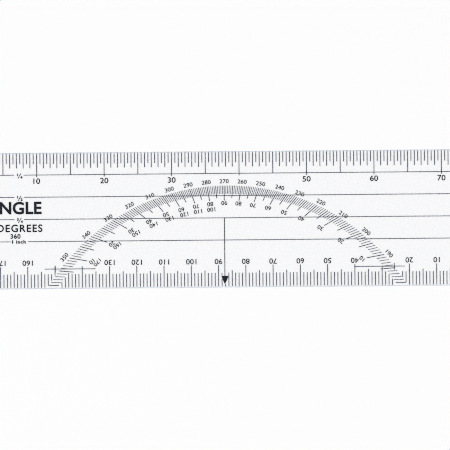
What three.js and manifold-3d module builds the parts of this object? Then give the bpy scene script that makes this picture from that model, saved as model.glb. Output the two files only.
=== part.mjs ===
// A clear plastic pocket goniometer: one flat strip with a printed protractor, two edge
// scales and four guide lines. Millimetres, +Z up. X runs along the strip, +Y points at the
// upper scale, and the origin is the middle of the face that the strip lies on.
//
// The strip is a laminate. The print lies between a thick clear body on top and a thin clear
// film underneath, close to the paper, so that readings have no parallax. It is laid down in
// two passes: the guide lines on the film, then the graduations on the body's underside.
import * as THREE from "three";
import { mergeVertices } from "three/addons/utils/BufferGeometryUtils.js";
import Module from "manifold-3d";

const wasm = await Module();
wasm.setup();

const INCH = 25.4;
const DEGREE = Math.PI / 180;

// Strip.
const LENGTH = 6 * INCH;
const WIDTH = 39;
const CORNER_RADIUS = 3;
const BODY_THICKNESS = 0.76;
const FILM_THICKNESS = 0.11;
const INK_THICKNESS = 0.015;
const EDGE_CHAMFER = 0.2;
const CORNER_SEGMENTS = 8;

const UPPER_EDGE = WIDTH / 2;
const LOWER_EDGE = -WIDTH / 2;

// Levels, from the resting face up.
const LINE_LEVEL = FILM_THICKNESS;
const MARK_LEVEL = LINE_LEVEL + INK_THICKNESS;
const BODY_LEVEL = MARK_LEVEL + INK_THICKNESS;

// Pen widths of the print.
const LINE_WIDTH = 0.14;
const MARK_WIDTH = 0.17;
const HAIRLINE = 0.06;

// Guide lines, at each quarter inch from the upper edge, open where their labels stand.
const LINE_END_MARGIN = 1.5;
const LABEL_CENTRE_X = -58.7;
const FRACTION_GAP = 2.7;
const ONE_INCH_GAP = 5;

// Upper scale: its numbers step by ten, with twenty divisions to each step.
const UPPER_STEP = 19.3;
const UPPER_DIVISIONS = 20;
const UPPER_LAST_DIVISION = 150;
const UPPER_ZERO_X = -72.9;
const UPPER_INSET = 0.25;
const UPPER_SHORT = 3.2;
const UPPER_MEDIUM = 4.4;
const UPPER_FIVE = INCH / 4;
const UPPER_TEN = 6.95;

// Lower scale: it reads from right to left, with eight divisions to each step.
const LOWER_STEP = 7.8;
const LOWER_DIVISIONS = 8;
const LOWER_LAST_DIVISION = 144;
const LOWER_ZERO_X = 68.4;
const LOWER_INSET = 0.4;
const LOWER_SHORT = 4.2;
const LOWER_MEDIUM = 4.9;
const LOWER_LONG = 6.4;
const MARK_CLEARANCE = 0.3;

// Protractor: the marks point at the vertex and stand between two circles, which share a
// centre below the strip. The print sets that centre a little to the right of the vertex.
const VERTEX_X = 0;
const VERTEX_Y = LOWER_EDGE + 1;
const ARC_CENTRE_X = 0.7;
const ARC_DROP = 32.1;
const ARC_CENTRE_Y = VERTEX_Y - ARC_DROP;
const ARC_OUTER_RADIUS = 60.25;
const ARC_INNER_RADIUS = 57.9;
const FIVE_DEGREE_RADIUS = 56.75;
const TEN_DEGREE_RADIUS = 56;
const DEGREE_MARK_WIDTH = 0.115;
const LONG_DEGREE_MARK_WIDTH = 0.16;

// Index line and full-sided arrowhead, whose tip is the vertex.
const INDEX_TOP_Y = UPPER_EDGE - 0.75 * INCH;
const INDEX_WIDTH = 0.165;
const ARROW_LENGTH = 2.3;
const ARROW_WIDTH = 1.95;
const ARROW_BULGE = 1.2;
const ARROW_STEPS = 6;
const ARROW_CLEARANCE = 0.15;

// Short base dashes beside the protractor's feet, each with a small crossing tick.
const DASH_Y = LOWER_EDGE + 5.7;
const DASH_START_X = 37;
const DASH_END_X = 51.5;
const DASH_TICK_X = 48.5;
const DASH_TICK_HEIGHT = 1.9;

const clearVinyl = new THREE.MeshStandardMaterial({
  color: 0xeef1f8,
  roughness: 0.08,
  metalness: 0,
  transparent: true,
  opacity: 0.3,
});
const clearFilm = clearVinyl.clone();
const ink = new THREE.MeshStandardMaterial({ color: 0x23272e, roughness: 0.6, metalness: 0 });

const strip = new THREE.Group();

function addMesh(name, geometry, material) {
  const mesh = new THREE.Mesh(geometry, material.clone());
  mesh.name = name;
  strip.add(mesh);
}

function extrude(shape, level, thickness) {
  const options = { depth: thickness, bevelEnabled: false, curveSegments: CORNER_SEGMENTS };
  return new THREE.ExtrudeGeometry(shape, options).translate(0, 0, level);
}

function polygon(points) {
  return new THREE.Shape(points.map(([x, y]) => new THREE.Vector2(x, y)));
}

function rectangle(x0, x1, y0, y1) {
  return polygon([[x0, y0], [x1, y0], [x1, y1], [x0, y1]]);
}

function toSolid(geometry) {
  const bare = geometry.clone();
  bare.deleteAttribute("normal");
  bare.deleteAttribute("uv");
  const merged = mergeVertices(bare, 1e-4);
  const vertProperties = merged.attributes.position.array;
  const triVerts = new Uint32Array(merged.index.array);
  return new wasm.Manifold(new wasm.Mesh({ numProp: 3, vertProperties, triVerts }));
}

function toGeometry(solid) {
  const { vertProperties, triVerts } = solid.getMesh();
  const geometry = new THREE.BufferGeometry();
  geometry.setAttribute("position", new THREE.BufferAttribute(vertProperties, 3));
  geometry.setIndex(new THREE.BufferAttribute(triVerts, 1));
  geometry.computeVertexNormals();
  return geometry;
}

// The strip's outline, a rectangle with round corners.
function outline() {
  const x = LENGTH / 2 - CORNER_RADIUS;
  const y = WIDTH / 2 - CORNER_RADIUS;
  const corners = [[x, -y, -90], [x, y, 0], [-x, y, 90], [-x, -y, 180]];
  const shape = new THREE.Shape();
  for (const [cx, cy, start] of corners) {
    shape.absarc(cx, cy, CORNER_RADIUS, start * DEGREE, (start + 90) * DEGREE, false);
  }
  return shape;
}

// The body: a plate with its upper edge chamfered, so that it has no sharp rim. It is
// extruded with both edges chamfered and cut off square at the bottom.
function bodyGeometry() {
  const options = {
    depth: BODY_THICKNESS,
    bevelEnabled: true,
    bevelSegments: 1,
    bevelSize: EDGE_CHAMFER,
    bevelThickness: EDGE_CHAMFER,
    bevelOffset: -EDGE_CHAMFER,
    curveSegments: CORNER_SEGMENTS,
  };
  const plate = new THREE.ExtrudeGeometry(outline(), options);
  plate.translate(0, 0, BODY_LEVEL - EDGE_CHAMFER);
  const below = new THREE.BoxGeometry(LENGTH * 2, WIDTH * 2, 1);
  below.translate(0, 0, BODY_LEVEL - 0.5);
  return toGeometry(toSolid(plate).subtract(toSolid(below)));
}

// A row of straight marks joined along their feet by a hairline, as one outline. Each mark
// is [x, reach]; rise is +1 for marks that point up from y and -1 for marks that point down.
function comb(marks, y, rise, fromX, toX) {
  const spine = y + rise * HAIRLINE;
  const points = [[fromX, y], [fromX, spine]];
  for (const [x, reach] of marks) {
    const left = x - MARK_WIDTH / 2;
    const right = x + MARK_WIDTH / 2;
    const tip = y + rise * reach;
    points.push([left, spine], [left, tip], [right, tip], [right, spine]);
  }
  points.push([toX, spine], [toX, y]);
  return polygon(points);
}

function upperReach(division) {
  if (division % UPPER_DIVISIONS === 0) return UPPER_TEN;
  if (division % (UPPER_DIVISIONS / 2) === 0) return UPPER_FIVE;
  return division % 2 === 0 ? UPPER_MEDIUM : UPPER_SHORT;
}

function upperMarks() {
  const marks = [];
  for (let division = 0; division <= UPPER_LAST_DIVISION; division += 1) {
    const x = UPPER_ZERO_X + (division * UPPER_STEP) / UPPER_DIVISIONS;
    marks.push([x, upperReach(division) - UPPER_INSET]);
  }
  const y = UPPER_EDGE - UPPER_INSET;
  return comb(marks, y, -1, marks[0][0] - MARK_WIDTH, marks.at(-1)[0] + MARK_WIDTH);
}

function circleY(radius, x) {
  const across = x - ARC_CENTRE_X;
  return ARC_CENTRE_Y + Math.sqrt(Math.max(radius ** 2 - across ** 2, 0));
}

// How far below its neck the arrowhead reaches, at a distance from its middle.
function arrowDepth(aside) {
  return ARROW_LENGTH * (1 - (2 * aside) / ARROW_WIDTH) ** (1 / ARROW_BULGE);
}

function lowerReach(division) {
  if (division % LOWER_DIVISIONS === 0) return LOWER_LONG;
  return division % (LOWER_DIVISIONS / 2) === 0 ? LOWER_MEDIUM : LOWER_SHORT;
}

// How high above the lower edge a lower mark may reach under the arc and the arrowhead.
function lowerRoom(x) {
  const inner = Math.abs(x - VERTEX_X) - MARK_WIDTH / 2;
  if (inner < ARROW_WIDTH / 2) {
    const neck = VERTEX_Y + ARROW_LENGTH;
    return neck - arrowDepth(Math.max(inner, 0)) - ARROW_CLEARANCE - LOWER_EDGE;
  }
  const footX = Math.sqrt(ARC_OUTER_RADIUS ** 2 - ARC_DROP ** 2);
  if (Math.abs(x - ARC_CENTRE_X) > footX + MARK_CLEARANCE) return LOWER_LONG;
  return circleY(ARC_INNER_RADIUS, x) - MARK_CLEARANCE - LOWER_EDGE;
}

function lowerMarks() {
  const marks = [];
  for (let division = LOWER_LAST_DIVISION; division >= 0; division -= 1) {
    const x = LOWER_ZERO_X - (division * LOWER_STEP) / LOWER_DIVISIONS;
    const reach = Math.min(lowerReach(division), lowerRoom(x));
    if (reach > 2 * LOWER_INSET) marks.push([x, reach - LOWER_INSET]);
  }
  const y = LOWER_EDGE + LOWER_INSET;
  return comb(marks, y, 1, marks[0][0] - MARK_WIDTH, marks.at(-1)[0] + MARK_WIDTH);
}

// How far from the vertex a ray at this angle meets a circle about the arc's centre.
function rayReach(radius, angle) {
  const across = VERTEX_X - ARC_CENTRE_X;
  const along = across * Math.cos(angle) + ARC_DROP * Math.sin(angle);
  return Math.sqrt(radius ** 2 - across ** 2 - ARC_DROP ** 2 + along ** 2) - along;
}

// A point at a distance along a ray from the vertex, moved sideways off the ray.
function rayPoint(distance, angle, aside) {
  const x = VERTEX_X + distance * Math.cos(angle) - aside * Math.sin(angle);
  const y = VERTEX_Y + distance * Math.sin(angle) + aside * Math.cos(angle);
  return [x, y];
}

function degreeRadius(degree) {
  if (degree % 180 === 0 || degree % 5 !== 0) return ARC_INNER_RADIUS;
  return degree % 10 === 0 ? TEN_DEGREE_RADIUS : FIVE_DEGREE_RADIUS;
}

// The protractor's 181 marks, joined along their outer ends by a hairline arc.
function degreeMarks() {
  const outer = [];
  const inner = [];
  for (let degree = 0; degree <= 180; degree += 1) {
    const angle = degree * DEGREE;
    const rim = rayReach(ARC_OUTER_RADIUS, angle);
    const spine = rayReach(ARC_OUTER_RADIUS - HAIRLINE, angle);
    const tip = rayReach(degreeRadius(degree), angle);
    const half = (degree % 5 === 0 ? LONG_DEGREE_MARK_WIDTH : DEGREE_MARK_WIDTH) / 2;
    outer.push(rayPoint(rim, angle, -half), rayPoint(rim, angle, half));
    inner.push(
      rayPoint(spine, angle, -half),
      rayPoint(tip, angle, -half),
      rayPoint(tip, angle, half),
      rayPoint(spine, angle, half),
    );
  }
  return polygon([...outer, ...inner.reverse()]);
}

function indexArrow() {
  const neck = VERTEX_Y + ARROW_LENGTH;
  const half = INDEX_WIDTH / 2;
  const right = [];
  for (let step = 0; step <= ARROW_STEPS; step += 1) {
    const aside = ((ARROW_WIDTH / 2) * step) / ARROW_STEPS;
    right.push([aside, neck - arrowDepth(aside)]);
  }
  right.push([half, neck], [half, INDEX_TOP_Y - LINE_WIDTH / 2]);
  const left = right.slice(1).reverse();
  return polygon([
    ...right.map(([x, y]) => [VERTEX_X + x, y]),
    ...left.map(([x, y]) => [VERTEX_X - x, y]),
  ]);
}

function dashGeometry(side) {
  const half = LINE_WIDTH / 2;
  const from = Math.min(side * DASH_START_X, side * DASH_END_X);
  const to = Math.max(side * DASH_START_X, side * DASH_END_X);
  const tickX = side * DASH_TICK_X;
  const tickHalf = DASH_TICK_HEIGHT / 2;
  const dash = rectangle(from, to, DASH_Y - half, DASH_Y + half);
  const tick = rectangle(tickX - half, tickX + half, DASH_Y - tickHalf, DASH_Y + tickHalf);
  const [dashSolid, tickSolid] = [dash, tick].map((shape) =>
    toSolid(extrude(shape, LINE_LEVEL, INK_THICKNESS)),
  );
  return toGeometry(dashSolid.add(tickSolid));
}

function addGuideLine(name, quarters, gap) {
  const y = UPPER_EDGE - (quarters * INCH) / 4;
  const end = LENGTH / 2 - LINE_END_MARGIN;
  const spans = {
    left: [-end, LABEL_CENTRE_X - gap / 2],
    right: [LABEL_CENTRE_X + gap / 2, end],
  };
  for (const [side, [x0, x1]] of Object.entries(spans)) {
    const shape = rectangle(x0, x1, y - LINE_WIDTH / 2, y + LINE_WIDTH / 2);
    addMesh(`${name}_line_${side}`, extrude(shape, LINE_LEVEL, INK_THICKNESS), ink);
  }
}

addMesh("clear_body", bodyGeometry(), clearVinyl);
addMesh("back_film", extrude(outline(), 0, FILM_THICKNESS), clearFilm);

addGuideLine("quarter_inch", 1, FRACTION_GAP);
addGuideLine("half_inch", 2, FRACTION_GAP);
addGuideLine("three_quarter_inch", 3, FRACTION_GAP);
addGuideLine("one_inch", 4, ONE_INCH_GAP);
addMesh("base_dash_left", dashGeometry(-1), ink);
addMesh("base_dash_right", dashGeometry(1), ink);

addMesh("upper_scale_marks", extrude(upperMarks(), MARK_LEVEL, INK_THICKNESS), ink);
addMesh("lower_scale_marks", extrude(lowerMarks(), MARK_LEVEL, INK_THICKNESS), ink);
addMesh("degree_marks", extrude(degreeMarks(), MARK_LEVEL, INK_THICKNESS), ink);
addMesh("index_arrow", extrude(indexArrow(), MARK_LEVEL, INK_THICKNESS), ink);

export default strip;
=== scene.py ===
"""Looks for a clear plastic pocket goniometer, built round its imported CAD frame. Metres, +Z up."""
import math

import bmesh
import bpy
from mathutils import Matrix, Vector


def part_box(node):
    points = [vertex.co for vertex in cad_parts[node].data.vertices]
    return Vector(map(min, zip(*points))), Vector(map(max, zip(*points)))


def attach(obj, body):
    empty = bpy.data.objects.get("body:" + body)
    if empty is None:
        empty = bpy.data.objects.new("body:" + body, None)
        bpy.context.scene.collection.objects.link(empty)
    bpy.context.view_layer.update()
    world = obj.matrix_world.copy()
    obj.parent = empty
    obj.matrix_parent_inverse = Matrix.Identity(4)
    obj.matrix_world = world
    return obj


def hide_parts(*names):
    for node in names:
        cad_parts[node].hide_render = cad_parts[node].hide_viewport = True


MM = 0.001
INCH = 25.4 * MM

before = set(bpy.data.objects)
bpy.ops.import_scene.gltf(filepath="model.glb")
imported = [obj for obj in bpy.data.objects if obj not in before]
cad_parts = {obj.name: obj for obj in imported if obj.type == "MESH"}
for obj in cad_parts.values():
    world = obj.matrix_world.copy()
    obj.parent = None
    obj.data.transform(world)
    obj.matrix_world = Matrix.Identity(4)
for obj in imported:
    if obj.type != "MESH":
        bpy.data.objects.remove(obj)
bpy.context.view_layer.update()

# ---------------------------------------------------------------- driving sizes

BODY_LOW, BODY_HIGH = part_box("clear_body")
FILM_LOW, FILM_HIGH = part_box("back_film")
RIGHT_END = BODY_HIGH.x
UPPER_EDGE = BODY_HIGH.y
LOWER_EDGE = BODY_LOW.y

CORNER_RADIUS = 3 * MM
EDGE_ROUND = 0.38 * MM
CORNER_SEGMENTS = 24
EDGE_SEGMENTS = 4

# Ink lies in the gap between the film and the body, clear of both.
INK_TO_FILM = 0.008 * MM
INK_TO_BODY = 0.005 * MM
INK_LOW = FILM_HIGH.z + INK_TO_FILM
INK_HIGH = BODY_LOW.z - INK_TO_BODY

MARK_WIDTH = 0.17 * MM
DEGREE_MARK_WIDTH = 0.115 * MM
LONG_DEGREE_MARK_WIDTH = 0.16 * MM
POINTER_WIDTH = 0.165 * MM

# Both scales' numbers step by ten.
NUMBER_STEP = 10

UPPER_STEP = 19.3 * MM
UPPER_DIVISIONS = 20
UPPER_LAST_DIVISION = 150
UPPER_ZERO_X = -72.9 * MM
UPPER_INSET = 0.25 * MM
UPPER_SHORT = 3.2 * MM
UPPER_MEDIUM = 4.4 * MM
UPPER_FIVE = INCH / 4
UPPER_TEN = 6.95 * MM
UPPER_NUMBER_Y = UPPER_EDGE - 8.05 * MM
UPPER_NUMBER_LEFT_OUT = 40
UPPER_NUMBER_SIZE = 1.6 * MM
UPPER_NUMBER_WEIGHT = 0.005
UPPER_NUMBER_STRETCH = 1.12

LOWER_STEP = 7.8 * MM
LOWER_DIVISIONS = 8
LOWER_LAST_DIVISION = 144
LOWER_ZERO_X = 68.4 * MM
LOWER_INSET = 0.4 * MM
LOWER_SHORT = 4.2 * MM
LOWER_MEDIUM = 4.9 * MM
LOWER_LONG = 6.4 * MM
LOWER_NUMBER_Y = LOWER_EDGE + 7.4 * MM
LOWER_NUMBER_SIZE = 1.55 * MM
LOWER_NUMBER_STRETCH = 1.08
MARK_CLEARANCE = 0.3 * MM

# The degree marks point at the vertex, and stand between two circles about the arc's centre.
VERTEX_X = 0.0
VERTEX_Y = LOWER_EDGE + 1 * MM
ARC_CENTRE_X = 0.7 * MM
ARC_DROP = 32.1 * MM
ARC_CENTRE_Y = VERTEX_Y - ARC_DROP
ARC_OUTER_RADIUS = 60.25 * MM
ARC_INNER_RADIUS = 57.9 * MM
FIVE_DEGREE_RADIUS = 56.75 * MM
TEN_DEGREE_RADIUS = 56 * MM
OUTER_NUMBER_RADIUS = 61.55 * MM
# The inner numbers stand this far inside the ten degree marks, and further at the feet.
INNER_NUMBER_GAP = 0.74 * MM
INNER_FOOT_GAP = 0.7 * MM
BACK_ROW_STEP = 1.58 * MM
DEGREE_NUMBER_SIZE = 1.2 * MM
DEGREE_NUMBER_STRETCH = 1.1
# Between these distances from the middle, the protractor's feet take the lower numbers' place.
FOOT_START_X = 38 * MM
FOOT_END_X = 49 * MM

ARROW_LENGTH = 2.3 * MM
ARROW_WIDTH = 1.95 * MM
ARROW_BULGE = 1.2
ARROW_STEPS = 6

FRACTIONS = (("1", "4"), ("1", "2"), ("3", "4"))
FRACTION_X = -58.55 * MM
FRACTION_DROP = 0.25 * MM
FRACTION_SIZE = 0.74 * MM
FRACTION_WEIGHT = 0.05
FRACTION_STRETCH = 1.1
FRACTION_DIGIT_ASIDE = 0.56 * MM
FRACTION_DIGIT_RISE = 0.34 * MM
FRACTION_BAR_LEAN = 0.43 * MM
FRACTION_BAR_RISE = 0.72 * MM
FRACTION_BAR_WIDTH = 0.15 * MM
ONE_INCH_X = -58.85 * MM
ONE_INCH_SIZE = 0.95 * MM
ONE_INCH_WEIGHT = 0.04
ONE_INCH_STRETCH = 1.15
ONE_INCH_SPACING = 1.15

# Each line of the legend: its piece, words, size, right end, drop from the upper edge, weight
# and spacing.
LEGEND = [
    ("legend_title", "ANGLE", 3.5 * MM, -52.3 * MM, 15.65 * MM, 0.032, 1.02),
    ("legend_units", "DEGREES", 2.15 * MM, -52.1 * MM, 21.5 * MM, 0.014, 1.14),
    ("legend_range", "360", 1.35 * MM, -58.4 * MM, 23.8 * MM, 0.02, 1.1),
]

# Lettering is built with digits this high and then scaled. Built larger, a heavier "4" fills up.
BUILT_DIGIT = 0.74 * MM
DIGIT_TO_FONT_SIZE = 0.729
MERGE_DISTANCE = 0.002 * BUILT_DIGIT
CURVE_STEPS = 4

# The middle part of a noise's range, which is spread over its two colours.
NOISE_START = 0.35
NOISE_END = 0.65
# Noise scales are in cells to a metre.
INK_COVER_SCALE = 9000.0
INK_GLOSS_SCALE = 4000.0
INK_GRAIN_SCALE = 6000.0
INK_GRAIN_DEPTH = 0.002 * MM
INK_ROUGHNESS = (0.45, 0.65)
HAZE_SCALE = 60.0
HAZE_DETAIL = 4.0
HAZE_RANGE = (0.6, 1.4)
WAVE_SCALE = 35.0
WAVE_DETAIL = 1.0
WAVE_DEPTH = 0.02 * MM
CUT_TINT_SCALE = 700.0
CUT_GRAIN_SCALE = 1800.0
CUT_GRAIN_DEPTH = 0.02 * MM
CUT_TRANSMISSION = 0.55
CUT_ROUGHNESS = 0.35
VINYL_IOR = 1.49

FLOOR_HALF = 3.0
FLOOR_GAP = 0.05 * MM
PAPER_GREY = 0.9
PAPER_ROUGHNESS = 0.9
STUDIO_STRENGTH = 1.402
KEY_PLACE = (-0.5, -0.6, 1.4)
KEY_SIZE = 1.2
KEY_POWER = 2.1

VIEW_WIDTH = 128.6 * MM
VIEW_CENTRE = (0.15 * MM, -1.61 * MM)
VIEW_ROLL = math.radians(-0.5)
LENS = 150.0
SENSOR_WIDTH = 36.0
CLIP_START = 0.01
CLIP_END = 20.0


# ---------------------------------------------------------------- materials


def new_material(name):
    """A material with a lone Principled shader, and the node tree and shader to build on."""
    material = bpy.data.materials.new(name)
    material.use_nodes = True
    tree = material.node_tree
    return material, tree, tree.nodes["Principled BSDF"]


def noise(tree, scale, detail=2.0):
    node = tree.nodes.new("ShaderNodeTexNoise")
    node.inputs["Scale"].default_value = scale
    node.inputs["Detail"].default_value = detail
    place = tree.nodes.new("ShaderNodeTexCoord")
    tree.links.new(place.outputs["Object"], node.inputs["Vector"])
    return node.outputs["Fac"]


def ramp(tree, source, low, high):
    """Maps a 0 to 1 value onto two colours, or two greys given as numbers."""
    node = tree.nodes.new("ShaderNodeValToRGB")
    ends = [c if isinstance(c, tuple) else (c, c, c) for c in (low, high)]
    for stop, place, colour in zip(node.color_ramp.elements, (NOISE_START, NOISE_END), ends):
        stop.position = place
        stop.color = (*colour, 1.0)
    tree.links.new(source, node.inputs["Fac"])
    return node.outputs["Color"]


def bump(tree, source, distance):
    node = tree.nodes.new("ShaderNodeBump")
    node.inputs["Distance"].default_value = distance
    tree.links.new(source, node.inputs["Height"])
    return node.outputs["Normal"]


def ink_material(name, dark, light):
    """Matt ink whose cover varies a little, with the faint grain of the screen."""
    material, tree, shader = new_material(name)
    cover = ramp(tree, noise(tree, INK_COVER_SCALE), dark, light)
    gloss = ramp(tree, noise(tree, INK_GLOSS_SCALE), *INK_ROUGHNESS)
    grain = bump(tree, noise(tree, INK_GRAIN_SCALE), INK_GRAIN_DEPTH)
    tree.links.new(cover, shader.inputs["Base Color"])
    tree.links.new(gloss, shader.inputs["Roughness"])
    tree.links.new(grain, shader.inputs["Normal"])
    shader.inputs["Specular IOR Level"].default_value = 0.0
    return material


def clear_material(name, tint, roughness, ior):
    """Clear plastic with a little uneven haze and a faint waviness."""
    material, tree, shader = new_material(name)
    shader.inputs["Base Color"].default_value = (*tint, 1.0)
    shader.inputs["Transmission Weight"].default_value = 1.0
    shader.inputs["IOR"].default_value = ior
    least, most = (roughness * part for part in HAZE_RANGE)
    haze = ramp(tree, noise(tree, HAZE_SCALE, HAZE_DETAIL), least, most)
    waves = bump(tree, noise(tree, WAVE_SCALE, WAVE_DETAIL), WAVE_DEPTH)
    tree.links.new(haze, shader.inputs["Roughness"])
    tree.links.new(waves, shader.inputs["Normal"])
    return material


def edge_material(dark, light):
    """The frosted, blue-grey look of a sheet's cut edge, with the grain of the cut. The blue-grey is
    darker than the frost's own colour: it is painted shade for the dark line that refraction draws
    along a clear sheet's edge.
    """
    material, tree, shader = new_material("cut_edge_with_painted_shade")
    # The edge tint is partly the frosted edge's own colour and partly painted shade, varied at
    # random.
    tint = ramp(tree, noise(tree, CUT_TINT_SCALE), dark, light)
    grain = bump(tree, noise(tree, CUT_GRAIN_SCALE), CUT_GRAIN_DEPTH)
    tree.links.new(tint, shader.inputs["Base Color"])
    tree.links.new(grain, shader.inputs["Normal"])
    shader.inputs["Transmission Weight"].default_value = CUT_TRANSMISSION
    shader.inputs["Roughness"].default_value = CUT_ROUGHNESS
    shader.inputs["IOR"].default_value = VINYL_IOR
    return material


# The clear sheets bend and mirror light less than free ones, because real ones are bonded.
INK = ink_material("screen_ink", (0.004, 0.008, 0.012), (0.009, 0.015, 0.022))
FINE_INK = ink_material("fine_ink", (0.003, 0.014, 0.042), (0.006, 0.024, 0.062))
CLEAR = clear_material("clear_vinyl", (0.987, 0.992, 1.0), roughness=0.03, ior=1.36)
FILM = clear_material("clear_film", (0.998, 0.998, 1.0), roughness=0.04, ior=1.05)
# The cut edges' blue-grey is partly the frosted edge's own colour and partly painted shade, standing
# in for the dark line refraction draws at a clear sheet's edge.
EDGE_WITH_PAINTED_SHADE = edge_material((0.56, 0.61, 0.69), (0.68, 0.73, 0.80))


# ---------------------------------------------------------------- mesh helpers


def finish_piece(name, bm, materials, nodes=()):
    """Turns a bmesh into a named piece that rides on the strip and stands for CAD nodes."""
    bmesh.ops.recalc_face_normals(bm, faces=bm.faces)
    mesh = bpy.data.meshes.new(name)
    bm.to_mesh(mesh)
    bm.free()
    for material in materials:
        mesh.materials.append(material)
    piece = bpy.data.objects.new(name, mesh)
    bpy.context.scene.collection.objects.link(piece)
    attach(piece, "root")
    if nodes:
        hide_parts(*nodes)
    return piece


def add_prism(bm, points):
    """Adds a closed prism of ink over an outline that runs anticlockwise."""
    floor = [bm.verts.new((x, y, INK_LOW)) for x, y in points]
    roof = [bm.verts.new((x, y, INK_HIGH)) for x, y in points]
    bm.faces.new(reversed(floor))
    bm.faces.new(roof)
    for i, vert in enumerate(floor):
        after = (i + 1) % len(floor)
        bm.faces.new((vert, floor[after], roof[after], roof[i]))


def add_bar(bm, start, end, width):
    """Adds a straight mark from one point to another."""
    start, end = Vector(start), Vector(end)
    along = (end - start).normalized()
    aside = Vector((-along.y, along.x)) * width / 2
    add_prism(bm, [start - aside, end - aside, end + aside, start + aside])


def add_text(bm, text, size, place, turn=0.0, weight=0.0, stretch=1.0, spacing=1.0, middle=True):
    """Adds lettering as solid shapes. Size is the height of a digit, weight thickens the strokes
    by a part of that, and place is the middle of the word, or of its right end."""
    curve = bpy.data.curves.new("lettering", "FONT")
    curve.body = text
    curve.align_x = "CENTER"
    curve.offset = weight * BUILT_DIGIT
    curve.space_character = spacing
    curve.resolution_u = CURVE_STEPS
    curve.size = BUILT_DIGIT / DIGIT_TO_FONT_SIZE
    holder = bpy.data.objects.new("lettering", curve)
    flat = bpy.data.meshes.new_from_object(holder)
    text_bm = bmesh.new()
    text_bm.from_mesh(flat)
    bmesh.ops.remove_doubles(text_bm, verts=text_bm.verts, dist=MERGE_DISTANCE)
    low = min(v.co.x for v in text_bm.verts)
    high = max(v.co.x for v in text_bm.verts)
    anchor = Vector(((low + high) / 2 if middle else high, BUILT_DIGIT / 2, 0.0))
    growth = size / BUILT_DIGIT
    bmesh.ops.translate(text_bm, vec=-anchor, verts=text_bm.verts)
    bmesh.ops.scale(text_bm, vec=(growth * stretch, growth, 1.0), verts=text_bm.verts)
    made = bmesh.ops.extrude_face_region(text_bm, geom=text_bm.faces[:])
    raised = [g for g in made["geom"] if isinstance(g, bmesh.types.BMVert)]
    bmesh.ops.translate(text_bm, vec=(0, 0, INK_HIGH - INK_LOW), verts=raised)
    spot = Matrix.Translation((*place, INK_LOW)) @ Matrix.Rotation(turn, 4, "Z")
    bmesh.ops.transform(text_bm, matrix=spot, verts=text_bm.verts)
    merged = bpy.data.meshes.new("lettering")
    text_bm.to_mesh(merged)
    text_bm.free()
    bm.from_mesh(merged)
    for mesh in (flat, merged):
        bpy.data.meshes.remove(mesh)
    bpy.data.objects.remove(holder)
    bpy.data.curves.remove(curve)


# ---------------------------------------------------------------- clear sheets


def outline(inset):
    """The strip's outline, moved in by inset, as anticlockwise points."""
    radius = CORNER_RADIUS - inset
    middle_x = RIGHT_END - CORNER_RADIUS
    middle_y = UPPER_EDGE - CORNER_RADIUS
    points = []
    for quarter, (sx, sy) in enumerate([(1, 1), (-1, 1), (-1, -1), (1, -1)]):
        for step in range(CORNER_SEGMENTS + 1):
            angle = (quarter + step / CORNER_SEGMENTS) * math.pi / 2
            x = sx * middle_x + radius * math.cos(angle)
            y = sy * middle_y + radius * math.sin(angle)
            points.append((x, y))
    return points


def add_sheet(bm, rings):
    """Adds a sheet as rings of the outline, from the bottom up: each is (inset, height)."""
    loops = []
    for inset, height in rings:
        loops.append([bm.verts.new((x, y, height)) for x, y in outline(inset)])
    bm.faces.new(reversed(loops[0]))
    bm.faces.new(loops[-1])
    for lower, upper in zip(loops, loops[1:]):
        for i, vert in enumerate(lower):
            after = (i + 1) % len(lower)
            side = bm.faces.new((vert, lower[after], upper[after], upper[i]))
            # Side faces, and the body's rounded rim, take the edge material with its painted shade.
            side.material_index = 1
            side.smooth = True


def let_light_through(piece):
    """A clear sheet this thin neither shades the paper nor shows in the light that it scatters."""
    piece.visible_shadow = False
    piece.visible_diffuse = False


def make_body():
    rings = [(0.0, BODY_LOW.z)]
    for step in range(EDGE_SEGMENTS + 1):
        angle = step / EDGE_SEGMENTS * math.pi / 2
        inset = EDGE_ROUND * (1 - math.cos(angle))
        rings.append((inset, BODY_HIGH.z - EDGE_ROUND * (1 - math.sin(angle))))
    bm = bmesh.new()
    add_sheet(bm, rings)
    sheet = finish_piece("body_sheet", bm, [CLEAR, EDGE_WITH_PAINTED_SHADE], ["clear_body"])
    let_light_through(sheet)


def make_film():
    bm = bmesh.new()
    add_sheet(bm, [(0.0, FILM_LOW.z), (0.0, FILM_HIGH.z)])
    film = finish_piece("backing_film", bm, [FILM, EDGE_WITH_PAINTED_SHADE], ["back_film"])
    let_light_through(film)


# ---------------------------------------------------------------- edge scales


def upper_reach(division):
    if division % UPPER_DIVISIONS == 0:
        return UPPER_TEN
    if division % (UPPER_DIVISIONS // 2) == 0:
        return UPPER_FIVE
    return UPPER_MEDIUM if division % 2 == 0 else UPPER_SHORT


def make_upper_scale():
    ticks = bmesh.new()
    numbers = bmesh.new()
    for division in range(UPPER_LAST_DIVISION + 1):
        x = UPPER_ZERO_X + division * UPPER_STEP / UPPER_DIVISIONS
        reach = upper_reach(division)
        add_bar(ticks, (x, UPPER_EDGE - UPPER_INSET), (x, UPPER_EDGE - reach), MARK_WIDTH)
        value = NUMBER_STEP * division // UPPER_DIVISIONS
        numbered = division % UPPER_DIVISIONS == 0 and value not in (0, UPPER_NUMBER_LEFT_OUT)
        if numbered:
            place = (x, UPPER_NUMBER_Y)
            add_text(
                numbers,
                str(value),
                UPPER_NUMBER_SIZE,
                place,
                weight=UPPER_NUMBER_WEIGHT,
                stretch=UPPER_NUMBER_STRETCH,
            )
    finish_piece("upper_scale_ticks", ticks, [FINE_INK], ["upper_scale_marks"])
    finish_piece("upper_scale_numbers", numbers, [INK])


def circle_y(radius, x):
    across = x - ARC_CENTRE_X
    return ARC_CENTRE_Y + math.sqrt(max(radius * radius - across * across, 0.0))


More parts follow.
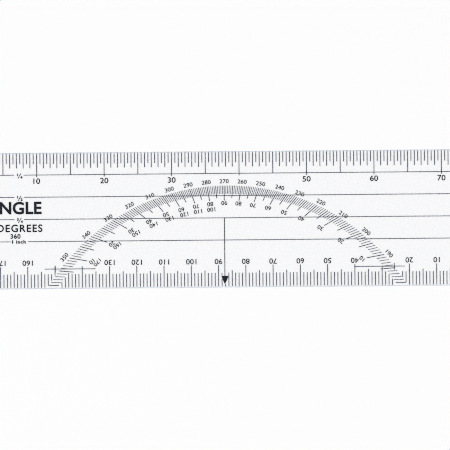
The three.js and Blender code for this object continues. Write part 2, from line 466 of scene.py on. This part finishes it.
def at_foot(x):
    """True where a foot of the protractor takes the place of the lower numbers."""
    return FOOT_START_X < abs(x) < FOOT_END_X


def lower_reach(division):
    if division % LOWER_DIVISIONS == 0:
        return LOWER_LONG
    return LOWER_MEDIUM if division % (LOWER_DIVISIONS // 2) == 0 else LOWER_SHORT


def lower_spans(division, x):
    """The stretches of a lower mark that the protractor's feet and the arrow leave."""
    bottom, top = LOWER_EDGE + LOWER_INSET, LOWER_EDGE + lower_reach(division)
    if abs(x - ARC_CENTRE_X) > half_chord(ARC_OUTER_RADIUS) + MARK_CLEARANCE:
        return [(bottom, top)]
    under_top = circle_y(ARC_INNER_RADIUS, x) - MARK_CLEARANCE
    over_bottom = circle_y(ARC_OUTER_RADIUS, x) + MARK_CLEARANCE
    inner_edge = abs(x - VERTEX_X) - MARK_WIDTH / 2
    if inner_edge < ARROW_WIDTH / 2:
        depth = arrow_depth(max(inner_edge, 0.0))
        under_top = VERTEX_Y + ARROW_LENGTH - depth - MARK_CLEARANCE / 2
        over_bottom = VERTEX_Y + ARROW_LENGTH + MARK_CLEARANCE / 2
    spans = [(bottom, min(top, under_top))]
    if inner_edge > POINTER_WIDTH:
        spans.append((max(bottom, over_bottom), top))
    return [span for span in spans if span[1] - span[0] > MARK_CLEARANCE]


def half_chord(radius):
    """How far from the middle a circle about the arc's centre meets the vertex's level."""
    return math.sqrt(radius * radius - ARC_DROP * ARC_DROP)


def make_lower_scale():
    ticks = bmesh.new()
    numbers = bmesh.new()
    for division in range(LOWER_LAST_DIVISION + 1):
        x = LOWER_ZERO_X - division * LOWER_STEP / LOWER_DIVISIONS
        for low, high in lower_spans(division, x):
            add_bar(ticks, (x, low), (x, high), MARK_WIDTH)
        if division % LOWER_DIVISIONS == 0 and division and not at_foot(x):
            label = str(NUMBER_STEP * division // LOWER_DIVISIONS)
            place = (x, LOWER_NUMBER_Y)
            add_text(
                numbers,
                label,
                LOWER_NUMBER_SIZE,
                place,
                math.pi,
                stretch=LOWER_NUMBER_STRETCH,
            )
    finish_piece("lower_scale_ticks", ticks, [FINE_INK], ["lower_scale_marks"])
    finish_piece("lower_scale_numbers", numbers, [INK])


# ---------------------------------------------------------------- protractor


def on_ray(radius, degree):
    """Where a ray from the vertex meets a circle about the arc's centre."""
    angle = math.radians(degree)
    across = VERTEX_X - ARC_CENTRE_X
    along = across * math.cos(angle) + ARC_DROP * math.sin(angle)
    reach = math.sqrt(radius**2 - across**2 - ARC_DROP**2 + along**2) - along
    return Vector((VERTEX_X + reach * math.cos(angle), VERTEX_Y + reach * math.sin(angle)))


def degree_radius(degree):
    if degree % 180 == 0 or degree % 5:
        return ARC_INNER_RADIUS
    return TEN_DEGREE_RADIUS if degree % 10 == 0 else FIVE_DEGREE_RADIUS


def make_degree_ticks():
    bm = bmesh.new()
    for degree in range(181):
        outer = on_ray(ARC_OUTER_RADIUS, degree)
        inner = on_ray(degree_radius(degree), degree)
        width = DEGREE_MARK_WIDTH if degree % 5 else LONG_DEGREE_MARK_WIDTH
        add_bar(bm, inner, outer, width)
    finish_piece("degree_ticks", bm, [FINE_INK], ["degree_marks"])


def arc_turn(place):
    """The turn that stands lettering upright on the arc at a place."""
    return math.atan2(place.y - ARC_CENTRE_Y, place.x - ARC_CENTRE_X) - math.pi / 2


def inside_marks(degree, gap):
    """A place on a degree's ray, short of its mark's inner end by a gap."""
    end = on_ray(TEN_DEGREE_RADIUS, degree)
    inwards = (Vector((VERTEX_X, VERTEX_Y)) - end).normalized()
    return end + inwards * gap


def add_degree_number(bm, value, place, turn=0.0):
    """Adds a number on the arc. With no further turn, it reads from below the arc."""
    facing = arc_turn(place) + turn
    add_text(bm, str(value), DEGREE_NUMBER_SIZE, place, facing, stretch=DEGREE_NUMBER_STRETCH)


def make_degree_numbers():
    outer, inner, back = bmesh.new(), bmesh.new(), bmesh.new()
    for degree in range(10, 180, 10):
        add_degree_number(outer, 180 + degree, on_ray(OUTER_NUMBER_RADIUS, degree))
        gap = INNER_NUMBER_GAP + INNER_FOOT_GAP * abs(math.cos(math.radians(degree)))
        acute = min(degree, 180 - degree)
        add_degree_number(inner, acute, inside_marks(degree, gap), math.pi)
        if degree > 90:
            place = inside_marks(degree, gap + BACK_ROW_STEP)
            add_degree_number(back, degree, place, math.pi)
    finish_piece("outer_degree_numbers", outer, [INK])
    finish_piece("inner_degree_numbers", inner, [INK])
    finish_piece("back_row_degree_numbers", back, [INK])


def arrow_depth(aside):
    """How far below its neck the arrowhead reaches, at a distance from its middle."""
    return ARROW_LENGTH * (1 - 2 * aside / ARROW_WIDTH) ** (1 / ARROW_BULGE)


def make_pointer():
    """The index line and its full-sided arrowhead, whose tip is the protractor's vertex."""
    neck = VERTEX_Y + ARROW_LENGTH
    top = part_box("three_quarter_inch_line_right")[0].y
    half = POINTER_WIDTH / 2
    right_side = []
    for step in range(ARROW_STEPS + 1):
        aside = ARROW_WIDTH / 2 * step / ARROW_STEPS
        right_side.append((aside, neck - arrow_depth(aside)))
    right_side += [(half, neck), (half, top)]
    left_side = [(-x, y) for x, y in reversed(right_side[1:])]
    bm = bmesh.new()
    add_prism(bm, [(VERTEX_X + x, y) for x, y in right_side + left_side])
    finish_piece("index_pointer", bm, [INK], ["index_arrow"])


# ---------------------------------------------------------------- lettering


def add_fraction(bm, upper, lower, middle):
    """Adds a small fraction with a long slanting bar."""
    x, y = middle
    foot = (x - FRACTION_BAR_LEAN, y - FRACTION_BAR_RISE)
    head = (x + FRACTION_BAR_LEAN, y + FRACTION_BAR_RISE)
    add_bar(bm, foot, head, FRACTION_BAR_WIDTH)
    for text, side in ((upper, -1), (lower, 1)):
        place = (x + side * FRACTION_DIGIT_ASIDE, y - side * FRACTION_DIGIT_RISE)
        add_text(
            bm,
            text,
            FRACTION_SIZE,
            place,
            weight=FRACTION_WEIGHT,
            stretch=FRACTION_STRETCH,
        )


def make_inch_labels():
    bm = bmesh.new()
    for quarters, (upper, lower) in enumerate(FRACTIONS, start=1):
        y = UPPER_EDGE - quarters * INCH / 4 - FRACTION_DROP
        add_fraction(bm, upper, lower, (FRACTION_X, y))
    add_text(
        bm,
        "1 inch",
        ONE_INCH_SIZE,
        (ONE_INCH_X, UPPER_EDGE - INCH),
        weight=ONE_INCH_WEIGHT,
        stretch=ONE_INCH_STRETCH,
        spacing=ONE_INCH_SPACING,
    )
    finish_piece("inch_labels", bm, [INK])


def make_legend():
    for name, text, size, right, drop, weight, spacing in LEGEND:
        bm = bmesh.new()
        place = (right, UPPER_EDGE - drop)
        add_text(bm, text, size, place, weight=weight, spacing=spacing, middle=False)
        finish_piece(name, bm, [INK])


# ---------------------------------------------------------------- stage


def make_floor():
    half = FLOOR_HALF
    level = FILM_LOW.z - FLOOR_GAP
    bm = bmesh.new()
    corners = [(-half, -half), (half, -half), (half, half), (-half, half)]
    bm.faces.new([bm.verts.new((x, y, level)) for x, y in corners])
    mesh = bpy.data.meshes.new("floor")
    bm.to_mesh(mesh)
    bm.free()
    material, _, shader = new_material("paper_white")
    shader.inputs["Base Color"].default_value = (PAPER_GREY, PAPER_GREY, PAPER_GREY, 1.0)
    shader.inputs["Roughness"].default_value = PAPER_ROUGHNESS
    shader.inputs["Specular IOR Level"].default_value = 0.0
    mesh.materials.append(material)
    floor = bpy.data.objects.new("floor", mesh)
    bpy.context.scene.collection.objects.link(floor)


def add_light(name, place, size, power):
    data = bpy.data.lights.new(name, "AREA")
    data.size = size
    data.energy = power
    light = bpy.data.objects.new(name, data)
    light.location = place
    light.rotation_euler = (-Vector(place)).to_track_quat("-Z", "Y").to_euler()
    bpy.context.scene.collection.objects.link(light)


def make_lights():
    world = bpy.data.worlds.new("studio")
    world.use_nodes = True
    tree = world.node_tree
    background = tree.nodes["Background"]
    background.inputs["Strength"].default_value = STUDIO_STRENGTH
    direction = tree.nodes.new("ShaderNodeTexCoord")
    height = tree.nodes.new("ShaderNodeSeparateXYZ")
    shade = tree.nodes.new("ShaderNodeValToRGB")
    # Dimmer walls below the bright dome, and dark straight above, keep the print crisp.
    horizon = [(0.0, 0.65), (0.12, 0.65)]
    walls = [(0.2, 0.4), (0.5, 0.4)]
    dome = [(0.62, 1.0), (0.92, 1.0)]
    zenith = [(0.975, 0.2)]
    bands = horizon + walls + dome + zenith
    while len(shade.color_ramp.elements) < len(bands):
        shade.color_ramp.elements.new(1.0)
    for stop, (place, level) in zip(shade.color_ramp.elements, bands):
        stop.position = place
        stop.color = (level, level, level, 1.0)
    tree.links.new(direction.outputs["Generated"], height.inputs["Vector"])
    tree.links.new(height.outputs["Z"], shade.inputs["Fac"])
    tree.links.new(shade.outputs["Color"], background.inputs["Color"])
    bpy.context.scene.world = world
    add_light("key", KEY_PLACE, KEY_SIZE, KEY_POWER)


def make_camera():
    """Looks straight down, from where the view is VIEW_WIDTH across at the strip's face."""
    data = bpy.data.cameras.new("camera")
    data.lens = LENS
    data.sensor_width = SENSOR_WIDTH
    data.clip_start = CLIP_START
    data.clip_end = CLIP_END
    distance = VIEW_WIDTH * LENS / SENSOR_WIDTH
    camera = bpy.data.objects.new("camera", data)
    camera.location = (*VIEW_CENTRE, BODY_HIGH.z + distance)
    camera.rotation_euler = (0.0, 0.0, VIEW_ROLL)
    bpy.context.scene.collection.objects.link(camera)
    bpy.context.scene.camera = camera


def dress_guide_lines():
    """The guide lines and dashes are shown as the CAD made them, in the fine ink."""
    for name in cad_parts:
        if name.endswith(("_line_left", "_line_right")) or name.startswith("base_dash"):
            node = bpy.data.objects[name]
            node.data.materials.clear()
            node.data.materials.append(FINE_INK)


make_camera()
make_floor()
make_lights()
make_body()
make_film()
make_upper_scale()
make_lower_scale()
make_degree_ticks()
make_degree_numbers()
make_pointer()
make_inch_labels()
make_legend()
dress_guide_lines()

scene = bpy.context.scene
scene.view_settings.view_transform = "Standard"
# The finest hatching is under two pixels apart, and smoothing the denoiser's guides blurs it.
scene.cycles.filter_width = 1.0
scene.cycles.denoising_prefilter = "FAST"
